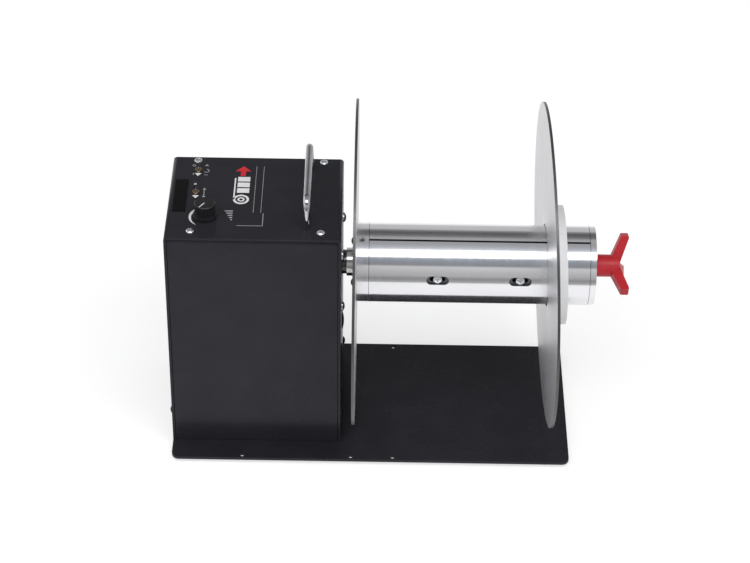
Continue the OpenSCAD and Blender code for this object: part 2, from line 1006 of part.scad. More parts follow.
module motor_bracket() {
    color([0.6, 0.6, 0.62])
        place()
            difference() {
                union() {
                    translate([bracket_x - bracket_t, -bracket_w / 2, base_top])
                        cube([bracket_t, bracket_w, bracket_h]);
                    translate([bracket_x - bracket_t, -bracket_w / 2, base_top])
                        cube([bracket_foot + bracket_t, bracket_w, bracket_t]);
                }
                hole_x([0, motor_z], 2 * motor_shaft_d, bracket_x - bracket_t - over, bracket_x + over);
                motor_screw_places()
                    shank_hole(m3, bracket_t + over);
                bracket_screw_places()
                    shank_hole(m4_button, base_t + bracket_t + over);
            }
}

module bracket_screws() {
    color([0.12, 0.12, 0.12])
        place()
            bracket_screw_places()
                button_screw(m4_button, base_t + bracket_t);
}

module motor_gearbox() {
    color([0.5, 0.51, 0.53])
        place()
            difference() {
                translate([0, 0, motor_z])
                    rod_x(gearbox_x, gearbox_x + gearbox_l, motor_d / 2 + gearbox_rim);
                translate([0, 0, motor_z])
                    rod_x(gearbox_bore_x, gearbox_x + gearbox_l + over, motor_shaft_d / 2 + run_fit);
                motor_screw_places()
                    shank_hole(m3, bracket_t + screw_bite);
            }
}

module motor_can() {
    color([0.3, 0.3, 0.32])
        place()
            translate([0, 0, motor_z])
                rod_x(gearbox_x - motor_l, gearbox_x, motor_d / 2);
}

module motor_screws() {
    color([0.6, 0.6, 0.6])
        place()
            motor_screw_places()
                pan_screw(m3, bracket_t + screw_bite);
}

module control_board() {
    color([0.1, 0.35, 0.2])
        place()
            difference() {
                translate([board_x, board_face, board_z])
                    cube([board_w, board_t, board_h]);
                board_post_places()
                    translate([0, 0, -board_t - over])
                        cylinder(h = board_t + 2 * over, d = m3[0]);
            }
}

// Posts from the rear cover, each with a stud through the board
module board_standoffs() {
    color([0.75, 0.65, 0.35])
        place()
            board_post_places() {
                cylinder(h = standoff_l, d = standoff_d);
                translate([0, 0, -board_t - stud_l])
                    cylinder(h = board_t + stud_l, d = m3[0] - 2 * seat);
            }
}

module board_parts() {
    color([0.2, 0.2, 0.25])
        place() {
            hole_y(capacitor_x, big_capacitor_z, big_capacitor_d, big_capacitor_y, board_face);
            hole_y(capacitor_x, small_capacitor_z, small_capacitor_d, small_capacitor_y, board_face);
            translate([block_x, board_face - terminal_t, terminal_z])
                cube([terminal_w, terminal_t, terminal_h]);
            translate([block_x, board_face - driver_t, driver_z])
                cube([driver_w, driver_t, driver_h]);
        }
}

module power_jack() {
    front = cover_face + jack_flange_t;
    color([0.1, 0.1, 0.1])
        place()
            difference() {
                union() {
                    hole_y(jack_x, jack_z, jack_flange_d, cover_face, front);
                    hole_y(jack_x, jack_z, jack_d, jack_floor - jack_wall, cover_face);
                    hole_y(jack_x, jack_z, jack_nut_d, cover_in - jack_nut_t, cover_in);
                }
                hole_y(jack_x, jack_z, jack_bore_d, jack_floor, front + over);
            }
}

module jack_pin() {
    color([0.7, 0.6, 0.4])
        place()
            hole_y(jack_x, jack_z, jack_pin_d, jack_floor, cover_face);
}

module torque_pot() {
    color([0.5, 0.5, 0.48])
        place()
            difference() {
                union() {
                    hole_z(dial_pos, pot_body_d, panel_in - pot_body_h, panel_in);
                    hole_z(dial_pos, pot_bush_d, panel_in, case_top + pot_nut_h + pot_bush_up);
                }
                hole_z(dial_pos, pot_shaft_d + 2 * run_fit, pot_floor_z, case_top + dial_h);
            }
}

module pot_nut() {
    color([0.7, 0.7, 0.7])
        place()
            translate([dial_pos.x, dial_pos.y, case_top])
                difference() {
                    cylinder(h = pot_nut_h, d = pot_nut_d, $fn = 6);
                    translate([0, 0, -over])
                        cylinder(h = pot_nut_h + 2 * over, d = pot_bush_d + 2 * seat);
                }
}

module toggle_switch(p) {
    bore_d = toggle_ball_d + 2 * run_fit;
    translate([p.x, p.y, 0])
        difference() {
            union() {
                translate([-toggle_body.x / 2, -toggle_body.y / 2, panel_in - toggle_body.z])
                    cube(toggle_body);
                translate([0, 0, panel_in])
                    cylinder(h = sheet_t + toggle_bush_h, d = toggle_bush_d);
            }
            translate([0, 0, toggle_pivot - toggle_tail - toggle_play])
                cylinder(h = toggle_bush_h + toggle_tail + 2 * toggle_play, d = bore_d);
        }
}

module torque_switch() {
    color([0.72, 0.6, 0.45])
        place()
            toggle_switch(toggle_pos[0]);
}

module direction_switch() {
    color([0.72, 0.6, 0.45])
        place()
            toggle_switch(toggle_pos[1]);
}

module switch_nuts() {
    color([0.72, 0.6, 0.45])
        place()
            for (p = toggle_pos)
                translate([p.x, p.y, case_top])
                    difference() {
                        cylinder(h = toggle_nut_h, d = toggle_nut_d);
                        translate([0, 0, -over])
                            cylinder(h = toggle_nut_h + 2 * over, d = toggle_bush_d + 2 * seat);
                    }
}

module toggle_lever(p) {
    tip_z = case_top + toggle_l - toggle_tip_d / 2;
    translate([p.x, p.y, 0]) {
        translate([0, 0, toggle_pivot])
            sphere(d = toggle_ball_d);
        translate([0, 0, toggle_pivot - toggle_tail])
            cylinder(h = toggle_tail, d = toggle_tail_d);
        translate([0, 0, toggle_pivot])
            cylinder(h = tip_z - toggle_pivot, d1 = toggle_lever_d, d2 = toggle_tip_d);
        translate([0, 0, tip_z])
            sphere(d = toggle_tip_d);
    }
}

module torque_lever() {
    color([0.85, 0.85, 0.86])
        place()
            toggle_lever(toggle_pos[0]);
}

module direction_lever() {
    color([0.85, 0.85, 0.86])
        place()
            toggle_lever(toggle_pos[1]);
}

module torque_knob() {
    body_d = dial_d - 4 * dial_chamfer;
    color([0.06, 0.06, 0.06])
        place()
            translate([dial_pos.x, dial_pos.y, case_top + dial_lift])
                difference() {
                    union() {
                        cylinder(h = dial_skirt_h, d = dial_d);
                        cylinder(h = dial_h - dial_chamfer, d = body_d);
                        translate([0, 0, dial_h - dial_chamfer])
                            cylinder(h = dial_chamfer, d1 = body_d, d2 = body_d - 2 * dial_chamfer);
                    }
                    for (i = [0:dial_grooves - 1])
                        rotate((i + 0.5) * 360 / dial_grooves)
                            translate([body_d / 2 + lap, 0, dial_skirt_h + dial_rim / 2])
                                cylinder(h = dial_groove_l, d = dial_groove_d);
                    translate([0, 0, -over])
                        cylinder(h = dial_recess[1] + over, d = dial_recess[0]);
                    translate([0, 0, -over])
                        cylinder(h = pot_shaft_up + over, d = pot_shaft_d + 2 * seat);
                }
}

module pot_shaft() {
    color([0.75, 0.75, 0.75])
        place()
            hole_z(dial_pos, pot_shaft_d, pot_floor_z + free_gap, case_top + dial_lift + pot_shaft_up);
}

module spindle_shaft() {
    color([0.62, 0.62, 0.64])
        place() {
            rod_x(shaft_x0, drum_x, shaft_r);
            rod_x(front_bearing_x + bearing_w, -collar_w, shoulder_d / 2);
        }
}

module spindle_gear() {
    color([0.5, 0.5, 0.52])
        place()
            difference() {
                union() {
                    rotate([180 / gear_teeth, 0, 0])
                        gear(gear_x0, gear_x1, gear_teeth);
                    rod_x(shaft_x0, gear_x0 + over, gear_hub_d / 2);
                }
                rod_x(shaft_x0 - over, gear_x1 + over, shaft_r + seat);
                at_angle(90)
                    hole_z([shaft_x0 + gear_hub_l / 2, 0], m4[0], shaft_r - over, gear_hub_d);
            }
}

module gear_set_screw() {
    color([0.2, 0.2, 0.2])
        place()
            translate([shaft_x0 + gear_hub_l / 2, 0, 0])
                set_screw(m4[0], shaft_r + seat, gear_hub_d / 2 - screw_recess);
}

module shaft_collar() {
    color([0.72, 0.7, 0.66])
        place()
            difference() {
                ring_x(-collar_w, 0, collar_d / 2, shaft_r + seat);
                at_angle(collar_screw_angle)
                    hole_z([-collar_w / 2, 0], m3[0], shaft_r - over, collar_d);
            }
}

module collar_screw() {
    color([0.2, 0.2, 0.2])
        place()
            at_angle(collar_screw_angle)
                translate([-collar_w / 2, 0, 0])
                    set_screw(m3[0], shaft_r + seat, collar_d / 2 - screw_recess);
}

module inner_flange() {
    color([0.78, 0.78, 0.79])
        place()
            difference() {
                ring_x(0, flange_t, flange_d / 2, shaft_r + seat);
                flange_screw_places()
                    shank_hole(m4_button, flange_t + over);
            }
}

module flange_screws() {
    color([0.7, 0.7, 0.7])
        place()
            flange_screw_places()
                button_screw(m4_flange, flange_t + flange_screw_bite);
}

module inner_hub() {
    color([0.8, 0.8, 0.81])
        place()
            difference() {
                union() {
                    rod_x(hub_x, drum_x, drum_r - hub_step);
                    rod_x(hub_x + hub_step, drum_x, drum_r);
                }
                rod_x(hub_x - over, drum_x + over, shaft_r + seat);
                flange_screw_places()
                    shank_hole(m4_button, flange_t + flange_screw_bite);
                at_angle(slit_angle)
                    hole_z([hub_screw_x, 0], set_screw_d, shaft_r - over, drum_d);
                rod_places()
                    rod_x(drum_x - rod_seat, drum_x + over, rod_d / 2 + seat);
            }
}

module hub_set_screw() {
    color([0.25, 0.25, 0.25])
        place()
            at_angle(slit_angle)
                translate([hub_screw_x, 0, 0])
                    set_screw(set_screw_d, shaft_r + seat, set_screw_top);
}

module tie_rods() {
    color([0.65, 0.65, 0.66])
        place()
            rod_places()
                difference() {
                    rod_x(drum_x - rod_seat, cap_x, rod_d / 2);
                    rod_x(cap_x - cap_screw_bite, cap_x + over, m4[0] / 2);
                }
}

module end_cap() {
    color([0.8, 0.8, 0.81])
        place()
            difference() {
                ring_x(cap_x, cap_end, drum_r, draw_d / 2 + run_fit);
                rod_places() {
                    rod_x(cap_x - over, cap_end + over, m4[0] / 2);
                    rod_x(cap_end - cap_bore[1], cap_end + over, cap_bore[0] / 2);
                }
            }
}

module end_cap_screws() {
    color([0.2, 0.2, 0.2])
        place()
            rod_places()
                translate([cap_end - cap_bore[1], 0, 0])
                    rotate([0, 90, 0])
                        button_screw(m4_button, cap_w - cap_bore[1] + cap_screw_bite - over);
}

module motor_shaft() {
    color([0.7, 0.7, 0.72])
        place()
            translate([0, 0, motor_z])
                rod_x(gearbox_bore_x + free_gap, pinion_x1 + shaft_end, motor_shaft_d / 2);
}

module motor_pinion() {
    color([0.55, 0.55, 0.57])
        place()
            translate([0, 0, motor_z])
                difference() {
                    gear(pinion_x0, pinion_x1, pinion_teeth);
                    rod_x(pinion_x0 - over, pinion_x1 + over, motor_shaft_d / 2 + seat);
                }
}

module outer_flange() {
    color([0.85, 0.85, 0.86])
        place()
            leaning()
                difference() {
                    ring_x(outer_x, outer_x + flange_t, flange_d / 2, outer_bore_r);
                    outer_screw_places() {
                        shank_hole(m4_sunk, flange_t + over);
                        translate([0, 0, -m4_sunk[2] - seat])
                            cylinder(h = m4_sunk[2] + seat, d1 = m4_sunk[0], d2 = m4_sunk[1] + seat);
                    }
                }
}

module flange_hub() {
    color([0.93, 0.93, 0.92])
        place()
            leaning()
                difference() {
                    ring_x(outer_hub_x, outer_hub_x + outer_hub_w, outer_hub_d / 2, land_r);
                    rod_x(outer_hub_x - over, pivot_x - land_w / 2, relief_r);
                    rod_x(pivot_x + land_w / 2, outer_hub_x + outer_hub_w + over, relief_r);
                    outer_screw_places()
                        shank_hole(m4_sunk, flange_t + screw_bite);
                }
}

module flange_hub_screws() {
    color([0.7, 0.7, 0.7])
        place()
            leaning()
                outer_screw_places()
                    sunk_screw(m4_sunk, flange_t + screw_bite);
}

// An arm's outline along the axis and away from it, with its tip's corners rounded
function corner(x, from) = [
    for (i = [0:4])
        [x, knob_reach - tip_round] + polar(tip_round, from - 22.5 * i)
];
function knob_arm_outline() = concat(
    [[arm_back - arm_root, 0], [arm_back, knob_hub_d / 2 - over]],
    corner(knob_tip - arm_t + tip_round, 180),
    corner(knob_tip - tip_round, 90),
    [[arm_front, knob_hub_d / 2 - arm_root - over], [arm_front - arm_dish, 0]]
);

module chuck_knob() {
    color([0.72, 0.1, 0.13])
        place()
            difference() {
                union() {
                    rod_x(knob_x, arm_front - arm_dish, knob_hub_d / 2);
                    for (i = [0:2])
                        at_angle(knob_angle + 120 * i)
                            slab_y(arm_w)
                                polygon(knob_arm_outline());
                }
                rod_x(knob_x - over, knob_x + knob_bore_l, draw_d / 2 + seat);
            }
}

module draw_screw() {
    color([0.6, 0.6, 0.62])
        place() {
            rod_x(carrier_x0 - draw_over, knob_x + knob_bore_l, draw_d / 2);
            rod_x(cap_x - free_gap - collar_l, cap_x - free_gap, collar_out / 2);
        }
}

// Height of the wedge ramps above the axis
function ramp(dx) = ramp_r - wedge_slope * dx;

// An outline from a level line to the ramp, lifted off the ramp by a gap
module ramp_block(half_l, level, gap) {
    polygon([
        [-half_l, level], [half_l, level], [half_l, ramp(half_l) + gap], [-half_l, ramp(-half_l) + gap]
    ]);
}

module wedge_carrier() {
    color([0.62, 0.6, 0.5])
        place()
            difference() {
                union() {
                    rod_x(carrier_x0, carrier_x1, carrier_r);
                    for (x = slot_xs) {
                        rod_x(x - carrier_disc_w / 2, x + carrier_disc_w / 2, carrier_disc_r);
                        for (a = jaw_angles)
                            at_angle(a)
                                translate([x, 0, 0])
                                    slab_y(wedge_w)
                                        ramp_block(wedge_l / 2, carrier_r - wedge_root, 0);
                    }
                }
                rod_x(carrier_x0 - over, carrier_x1 + over, draw_d / 2 + run_fit);
                rod_places()
                    rod_x(carrier_x0 - over, carrier_x1 + over, rod_d / 2 + run_fit);
                jaw_screw_places()
                    shank_hole(m4_jaw, head_under - ramp_r + screw_bite);
            }
}

module jaw_screws() {
    color([0.75, 0.76, 0.74])
        place()
            jaw_screw_places()
                pan_screw(m4_jaw, head_under - ramp_r + screw_bite);
}

// One third of the drum, drawn with its middle on Z
module jaw(theta) {
    side = 2 * drum_r * sin(60);
    apex = slit_w / 2 / sin(60);
    edge = apex + 2 * drum_r * cos(60);
    above = 2 * drum_d;
    color([0.82, 0.82, 0.83])
        place()
            at_angle(theta)
                difference() {
                    union() {
                        intersection() {
                            ring_x(drum_x + jaw_gap, cap_x - jaw_gap, drum_r, jaw_in);
                            bar_x(drum_x, cap_x)
                                polygon([
                                    [0, apex], [side, edge], [side, above], [-side, above], [-side, edge]
                                ]);
                        }
                        for (x = slot_xs)
                            translate([x, 0, 0])
                                slab_y(wedge_w)
                                    ramp_block(pad_l / 2, jaw_in + over, free_gap);
                    }
                    for (x = slot_xs)
                        translate([x, 0, 0]) {
                            translate([0, 0, slot_floor])
                                rounded_slot(slot_l, slot_w, drum_r);
                            translate([0, 0, drum_r / 2])
                                rounded_slot(shank_slot_l, shank_slot_w, drum_r);
                        }
                }
}

module jaw_1() {
    jaw(jaw_angles[0]);
}

module jaw_2() {
    jaw(jaw_angles[1]);
}

module jaw_3() {
    jaw(jaw_angles[2]);
}

base_plate();
rubber_feet();
case_shell();
front_cover();
rear_cover();
top_screws();
side_screws();
base_screws();
carry_handle();
handle_screws();
name_plate();
bearing_housing();
front_bearing();
rear_bearing();
housing_bolts();
hole_plug();
motor_bracket();
bracket_screws();
motor_gearbox();
motor_can();
motor_screws();
control_board();
board_standoffs();
board_parts();
power_jack();
jack_pin();
torque_pot();
pot_nut();
torque_switch();
direction_switch();
switch_nuts();
spindle_shaft();
bearing_races();
spindle_gear();
gear_set_screw();
shaft_collar();
collar_screw();
inner_flange();
flange_screws();
inner_hub();
hub_set_screw();
tie_rods();
end_cap();
end_cap_screws();
motor_shaft();
motor_pinion();
outer_flange();
flange_hub();
flange_hub_screws();
chuck_knob();
draw_screw();
wedge_carrier();
jaw_screws();
jaw_1();
jaw_2();
jaw_3();
torque_knob();
pot_shaft();
torque_lever();
direction_lever();
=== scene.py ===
"""Looks of a bench label rewinder: finishes, printed marks, floor, light and camera."""
import json
import math

import bmesh
import bpy
from mathutils import Matrix, Vector


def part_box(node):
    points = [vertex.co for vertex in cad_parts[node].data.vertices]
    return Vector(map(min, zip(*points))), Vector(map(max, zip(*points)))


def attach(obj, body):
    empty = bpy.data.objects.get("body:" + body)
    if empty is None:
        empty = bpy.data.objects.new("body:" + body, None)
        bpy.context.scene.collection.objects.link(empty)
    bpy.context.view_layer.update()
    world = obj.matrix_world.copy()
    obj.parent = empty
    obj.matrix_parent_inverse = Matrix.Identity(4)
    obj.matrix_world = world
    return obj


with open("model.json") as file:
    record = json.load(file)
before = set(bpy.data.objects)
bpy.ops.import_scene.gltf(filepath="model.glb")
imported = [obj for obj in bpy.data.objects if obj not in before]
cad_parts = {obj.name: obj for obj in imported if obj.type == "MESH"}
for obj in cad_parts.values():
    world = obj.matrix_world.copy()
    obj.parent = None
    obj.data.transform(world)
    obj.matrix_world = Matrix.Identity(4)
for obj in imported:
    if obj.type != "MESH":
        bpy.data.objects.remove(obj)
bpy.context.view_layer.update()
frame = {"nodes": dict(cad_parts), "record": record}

MM = 0.001
nodes = frame["nodes"]
scene = bpy.context.scene

# Camera: focal length in pixels of a 750 pixel wide frame, place in metres, turns in degrees
FRAME_WIDTH = 750
SENSOR_WIDTH = 36.0
FOCAL_LENGTH = 2396.8
CAMERA_PLACE = Vector((-0.019912, -1.814284, 1.543517))
CAMERA_PITCH = 37.455
CAMERA_YAW = -0.051
CAMERA_ROLL = 0.872
CAMERA_REACH = 100

# Studio round the spindle axis: its size in metres, the share of the axis height at which it ends
# over the floor, and the least downward slope that is cut short there
STUDIO_RADIUS = 2.4
STUDIO_HALF_WIDTH = 2.5
STUDIO_FOOT = 0.97
LEAST_FALL = 0.01

# Directions in the studio: degrees above the front horizon, how bright and how cool each is
STUDIO_TONES = (
    (-21, 0.42, 0), (-11, 0.25, 0), (-4, 0.4, 0), (26, 0.67, 0),
    (29, 0.22, 0.4), (50, 0.33, 1), (53, 0.8, 0.4), (75, 0.8, 0.4),
    (79, 0.55, 0.4), (86, 0.44, 0.4), (92, 0.36, 0.2), (99, 0.33, 0),
    (113, 0.42, 0), (120, 0.17, 0), (128, 0.09, 0), (137, 0.075, 0),
    (147, 0.27, 0), (150, 0.55, 0), (165, 0.6, 0), (180, 0.6, 0),
)
COOL = Vector((0.9, 1, 1.16))

# Key light, the room's own light from front to back, and the floor
KEY_ANGLE = 63
KEY_DISTANCE = 1.9
KEY_SIZE = (2.2, 0.62)
KEY_POWER = 16
WORLD_COLOUR = (0.97, 0.98, 1)
WORLD_FRONT = 1.2
WORLD_BACK = 0.02
FLOOR_HALF_WIDTH = 15
FLOOR_COLOUR = (0.5, 0.5, 0.5)
FLOOR_GLOW = (0.63, 0.63, 0.63)

# Spindle axis, from the drum's end cap
cap_low, cap_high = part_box("end_cap")
AXIS = Vector((0, (cap_low.y + cap_high.y) / 2, (cap_low.z + cap_high.z) / 2))

# Top panel of the case: printed marks are laid out from its left front corner
case_low, case_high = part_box("case_shell")
PANEL = Vector((case_low.x, case_low.y, case_high.z))
INK_T = 0.06 * MM
ARC_STEPS = 24

# Marks beside a switch: its pointer, and how far to the right its signs stand
POINTER_HALF = 3.2
POINTER_L = 4.8
POINTER_GAP = 4
SIGN_RIGHT = 7.6

# Scale of the dial: where it starts and ends, in degrees, and its outer radius
SCALE_START = 238
SCALE_END = 120
SCALE_R = 15.2

# Edges: a shaded radius, and what a solid's softened edges are made with
EDGE_RADIUS = 0.3 * MM
WELD_GAP = 0.002 * MM
FLAT_ANGLE = math.radians(1)
SHARP_ANGLE = math.radians(40)
EDGE_SEGMENTS = 2

# Noise stays mostly in this range, and a disc's cut edge has less than this much of X in its normal
NOISE_RANGE = (0.3, 0.7)
RIM_FACING = 0.7


# Finishes


class Finish:
    """A Principled material whose detail comes from noise in the piece's own coordinates."""

    def __init__(self, name, colour, metallic=0.0, **sockets):
        self.material = bpy.data.materials.new(name)
        self.material.use_nodes = True
        self.tree = self.material.node_tree
        self.shader = self.tree.nodes["Principled BSDF"]
        self.coords = self.add("ShaderNodeTexCoord")
        self.shader.inputs["Base Color"].default_value = (*colour, 1)
        self.shader.inputs["Metallic"].default_value = metallic
        for socket, value in sockets.items():
            self.shader.inputs[socket.replace("_", " ")].default_value = value

    def add(self, kind, **settings):
        made = self.tree.nodes.new(kind)
        for key, value in settings.items():
            setattr(made, key, value)
        return made

    def link(self, source, target):
        self.tree.links.new(source, target)

    def noise(self, scale, stretch=(1, 1, 1), detail=4.0, roughness=0.55):
        """Noise with scale cells in a metre, stretched by a factor on each axis."""
        mapping = self.add("ShaderNodeMapping")
        mapping.inputs["Scale"].default_value = stretch
        self.link(self.coords.outputs["Object"], mapping.inputs["Vector"])
        made = self.add("ShaderNodeTexNoise")
        made.inputs["Scale"].default_value = scale
        made.inputs["Detail"].default_value = detail
        made.inputs["Roughness"].default_value = roughness
        self.link(mapping.outputs["Vector"], made.inputs["Vector"])
        return made.outputs["Fac"]

    def spread(self, source, low, high):
        """Noise's middle range, spread from low to high."""
        made = self.add("ShaderNodeMapRange")
        made.inputs["From Min"].default_value = NOISE_RANGE[0]
        made.inputs["From Max"].default_value = NOISE_RANGE[1]
        made.inputs["To Min"].default_value = low
        made.inputs["To Max"].default_value = high
        self.link(source, made.inputs["Value"])
        return made.outputs["Result"]

    def mix(self, factor, first, second):
        """A colour between two, each of them a colour or a socket."""
        made = self.add("ShaderNodeMix", data_type="RGBA")
        self.link(factor, made.inputs["Factor"])
        for key, colour in (("A", first), ("B", second)):
            if isinstance(colour, tuple):
                made.inputs[key].default_value = (*colour, 1)
            else:
                self.link(colour, made.inputs[key])
        return made.outputs["Result"]

    def roughness(self, source, low, high):
        self.link(self.spread(source, low, high), self.shader.inputs["Roughness"])
        return self

    def tint(self, source, dark, light):
        """Base colour between two colours, by a noise."""
        colour = self.mix(self.spread(source, 0, 1), dark, light)
        self.link(colour, self.shader.inputs["Base Color"])
        return colour

    def bump(self, source, strength, depth, edge_radius=EDGE_RADIUS):
        """Fine relief by a noise, over edges that are slightly rounded unless their radius is 0."""
        made = self.add("ShaderNodeBump")
        made.inputs["Strength"].default_value = strength
        made.inputs["Distance"].default_value = depth
        self.link(source, made.inputs["Height"])
        if edge_radius:
            edge = self.add("ShaderNodeBevel", samples=4)
            edge.inputs["Radius"].default_value = edge_radius
            self.link(edge.outputs["Normal"], made.inputs["Normal"])
        self.link(made.outputs["Normal"], self.shader.inputs["Normal"])

    def ends(self, low, high):
        """1 before and after a stretch along X, and 0 in it."""
        split = self.add("ShaderNodeSeparateXYZ")
        self.link(self.coords.outputs["Object"], split.inputs["Vector"])
        made = self.add("ShaderNodeMath", operation="COMPARE")
        made.inputs[1].default_value = (low + high) / 2
        made.inputs[2].default_value = (high - low) / 2
        self.link(split.outputs["X"], made.inputs[0])
        other = self.add("ShaderNodeMath", operation="SUBTRACT")
        other.inputs[0].default_value = 1
        self.link(made.outputs[0], other.inputs[1])
        return other.outputs[0]

    def either(self, first, second):
        """1 where one of two masks is 1."""
        made = self.add("ShaderNodeMath", operation="MAXIMUM")
        self.link(first, made.inputs[0])
        self.link(second, made.inputs[1])
        return made.outputs[0]

    def recess(self, radius):
        """1 on faces nearer to the spindle axis than a radius, and 0 outside it."""
        offset = self.add("ShaderNodeVectorMath", operation="SUBTRACT")
        offset.inputs[1].default_value = AXIS
        self.link(self.coords.outputs["Object"], offset.inputs[0])
        across = self.add("ShaderNodeVectorMath", operation="MULTIPLY")
        across.inputs[1].default_value = (0, 1, 1)
        self.link(offset.outputs["Vector"], across.inputs[0])
        length = self.add("ShaderNodeVectorMath", operation="LENGTH")
        self.link(across.outputs["Vector"], length.inputs[0])
        made = self.add("ShaderNodeMath", operation="LESS_THAN")
        made.inputs[1].default_value = radius
        self.link(length.outputs["Value"], made.inputs[0])
        return made.outputs[0]

    def rim(self):
        """1 on faces turned away from the spindle axis, such as a disc's cut edge, and 0 elsewhere."""
        split = self.add("ShaderNodeSeparateXYZ")
        self.link(self.coords.outputs["Normal"], split.inputs["Vector"])
        size = self.add("ShaderNodeMath", operation="ABSOLUTE")
        self.link(split.outputs["X"], size.inputs[0])
        made = self.add("ShaderNodeMath", operation="LESS_THAN")
        made.inputs[1].default_value = RIM_FACING
        self.link(size.outputs[0], made.inputs[0])
        return made.outputs[0]


def powder_coat(name, dark, light):
    """Satin paint with a fine orange peel."""
    made = Finish(name, dark, Specular_IOR_Level=0.2, Specular_Tint=(0.93, 0.91, 1, 1))
    made.tint(made.noise(30), dark, light)
    made.roughness(made.noise(18), 0.22, 0.3)
    made.bump(made.noise(1500, detail=2), strength=0.3, depth=0.05 * MM)
    return made.material


def turned_metal(name, dark, light, smooth, rough, painted_shade=None):
    """Metal turned round the spindle; with painted shade given, its slots' insides and its two ends
    along X are painted darker as the shade in them.
    """
    made = Finish(name, light, metallic=0.94, Anisotropic=0.6, Anisotropic_Rotation=0.25)
    rings = made.noise(900, stretch=(1, 0.01, 0.01), detail=3)
    face = made.tint(made.noise(14, stretch=(0.4, 1, 1)), dark, light)
    # Painted shade: a darker tone inside the slots and along the jaw's two ends, where the joints are
    # shaded
    if painted_shade:
        tone, radius, low, high = painted_shade
        shade_mask = made.either(made.recess(radius), made.ends(low, high))
        made.link(made.mix(shade_mask, face, tone), made.shader.inputs["Base Color"])
    made.roughness(rings, smooth, rough)
    made.bump(rings, strength=0.06, depth=0.01 * MM, edge_radius=0)
    tangent = made.add("ShaderNodeTangent", direction_type="RADIAL", axis="X")
    made.link(tangent.outputs["Tangent"], made.shader.inputs["Tangent"])
    return made.material


def disc_metal(name, dark, light, edge_shade):
    """Brushed sheet whose cut edge is painted a dark tone as shade."""
    made = Finish(name, light, metallic=0.8, Specular_Tint=(0.86, 0.86, 0.87, 1))
    grain = made.noise(500, stretch=(1, 1, 0.03), detail=3)
    sides = made.tint(made.noise(12), dark, light)
    # Painted shade on the disc's cut edge
    made.link(made.mix(made.rim(), sides, edge_shade), made.shader.inputs["Base Color"])
    made.roughness(grain, 0.34, 0.44)
    made.bump(grain, strength=0.08, depth=0.01 * MM, edge_radius=0)
    return made.material


def plated(name, dark, light, smooth, rough, patch=180):
    """Bare, plated or blackened metal in soft patches, so many of them in a metre."""
    made = Finish(name, light, metallic=1)
    made.tint(made.noise(patch), dark, light)
    made.roughness(made.noise(patch * 1.7), smooth, rough)
    made.bump(made.noise(2600, detail=2), strength=0.08, depth=0.01 * MM)
    return made.material


def moulded(name, dark, light, smooth, rough, grain=2200, depth=0.02):
    """Plastic, rubber, paint or ink with a fine grain, whose depth is in millimetres."""
    made = Finish(name, light, Specular_IOR_Level=0.4)
    made.tint(made.noise(60), dark, light)
    made.roughness(made.noise(90), smooth, rough)
    made.bump(made.noise(grain, detail=2), strength=0.25, depth=depth * MM)
    return made.material


# Painted shade: the flanges' cut edge is painted near black so that it shows shaded
DISC_EDGE_SHADE = (0.12, 0.117, 0.115)
ALUMINIUM = ((0.76, 0.76, 0.78), (0.84, 0.84, 0.86), 0.12, 0.2)

# Painted shade on a jaw: its dark tone, the radius under which a slot's inside is painted dark, and the
# stretch along X that keeps the bright tone, outside which the jaw's ends are painted dark as shade in
# the joints
PAINTED_SHADE_TONE = (0.26, 0.26, 0.27)
SLOT_RIM = 0.8 * MM
JOINT_SHADE_W = 0.4 * MM
DRUM_RADIUS = (cap_high.z - cap_low.z) / 2
jaw_low, jaw_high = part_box("jaw_1")
JAW_PAINTED_SHADE = (PAINTED_SHADE_TONE, DRUM_RADIUS - SLOT_RIM, jaw_low.x + JOINT_SHADE_W, jaw_high.x - JOINT_SHADE_W)

FINISHES = {
    "black_powder": powder_coat("black_powder", (0.0178, 0.0171, 0.0212), (0.0222, 0.0214, 0.0266)),
    "rubber": moulded("rubber", (0.012, 0.012, 0.012), (0.022, 0.022, 0.022), 0.75, 0.9, 1200, 0.06),
    "zinc": plated("zinc", (0.66, 0.69, 0.70), (0.84, 0.87, 0.88), 0.18, 0.34),
    "black_oxide": plated("black_oxide", (0.020, 0.020, 0.021), (0.045, 0.045, 0.047), 0.3, 0.45),
    "chrome": plated("chrome", (0.44, 0.44, 0.46), (0.55, 0.55, 0.57), 0.02, 0.05, 40),
    "name_plate": plated("name_plate", (0.010, 0.010, 0.011), (0.016, 0.016, 0.017), 0.32, 0.44),
    "cast_alloy": plated("cast_alloy", (0.34, 0.35, 0.36), (0.46, 0.47, 0.48), 0.42, 0.6, 260),
    "steel": turned_metal("steel", (0.64, 0.63, 0.61), (0.78, 0.77, 0.75), 0.14, 0.26),
    "black_plastic": moulded("black_plastic", (0.008, 0.008, 0.009), (0.014, 0.014, 0.015), 0.25, 0.38),
    "motor_paint": moulded("motor_paint", (0.05, 0.05, 0.06), (0.08, 0.08, 0.09), 0.35, 0.5, 900),
    "board": moulded("board", (0.02, 0.13, 0.06), (0.05, 0.24, 0.11), 0.3, 0.45, 700),
    "board_parts": moulded("board_parts", (0.02, 0.02, 0.025), (0.05, 0.05, 0.06), 0.35, 0.5),
    "brass": plated("brass", (0.30, 0.22, 0.15), (0.46, 0.36, 0.26), 0.2, 0.34),
    "turned_aluminium": turned_metal("turned_aluminium", *ALUMINIUM),
    "flange_aluminium": disc_metal(
        "flange_aluminium", (0.74, 0.74, 0.75), (0.83, 0.83, 0.84), DISC_EDGE_SHADE
    ),
    "white_plastic": moulded(
        "white_plastic", (0.77, 0.765, 0.77), (0.84, 0.835, 0.84), 0.35, 0.5, 900
    ),
    "red_plastic": moulded(
        "red_plastic", (0.44, 0.010, 0.018), (0.54, 0.016, 0.026), 0.34, 0.48, 1600, 0.04
    ),
}
